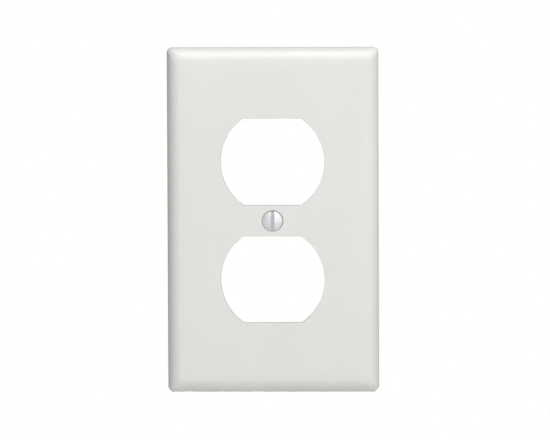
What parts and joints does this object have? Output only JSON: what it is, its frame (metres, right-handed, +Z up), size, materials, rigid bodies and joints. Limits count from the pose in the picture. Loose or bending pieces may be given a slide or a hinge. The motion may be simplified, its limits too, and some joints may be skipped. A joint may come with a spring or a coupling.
{
  "type": "duplex receptacle wall plate",
  "caption": "White one-gang duplex receptacle wall plate with open outlet cut-outs and a captive slotted oval-head mounting screw.",
  "frame": {"origin": "where the mounting screw's axis crosses the wall plane, which is the plane of the plate's rim", "axes": "+Z up along the plate's height, +X to the right of a person who faces the plate, +Y into the wall, so the front faces -Y"},
  "size_m": [0.0698, 0.0139, 0.1142],
  "materials": {
    "white_plastic": "smooth moulded thermoplastic with a soft gloss, warm white",
    "zinc_plated_steel": "bright zinc plating, slightly blue, with faint turning marks on the head",
    "vulcanised_fibre": "matt brown-grey fibre sheet, punched"
  },
  "bodies": {
    "plate": {"wall_plate": "white_plastic"},
    "retainer": {"screw_retaining_washer": "vulcanised_fibre"},
    "screw": {"mounting_screw": "zinc_plated_steel"}
  },
  "joints": [
    {"name": "screw_backout", "type": "slide", "parent": "plate", "child": "retainer", "axis": [0, -1, 0], "range_m": [0, 0.0016]},
    {"name": "screw_turn", "type": "hinge", "parent": "retainer", "child": "screw", "pos_m": [0, 0, 0], "axis": [0, 1, 0], "continuous": true}
  ]
}
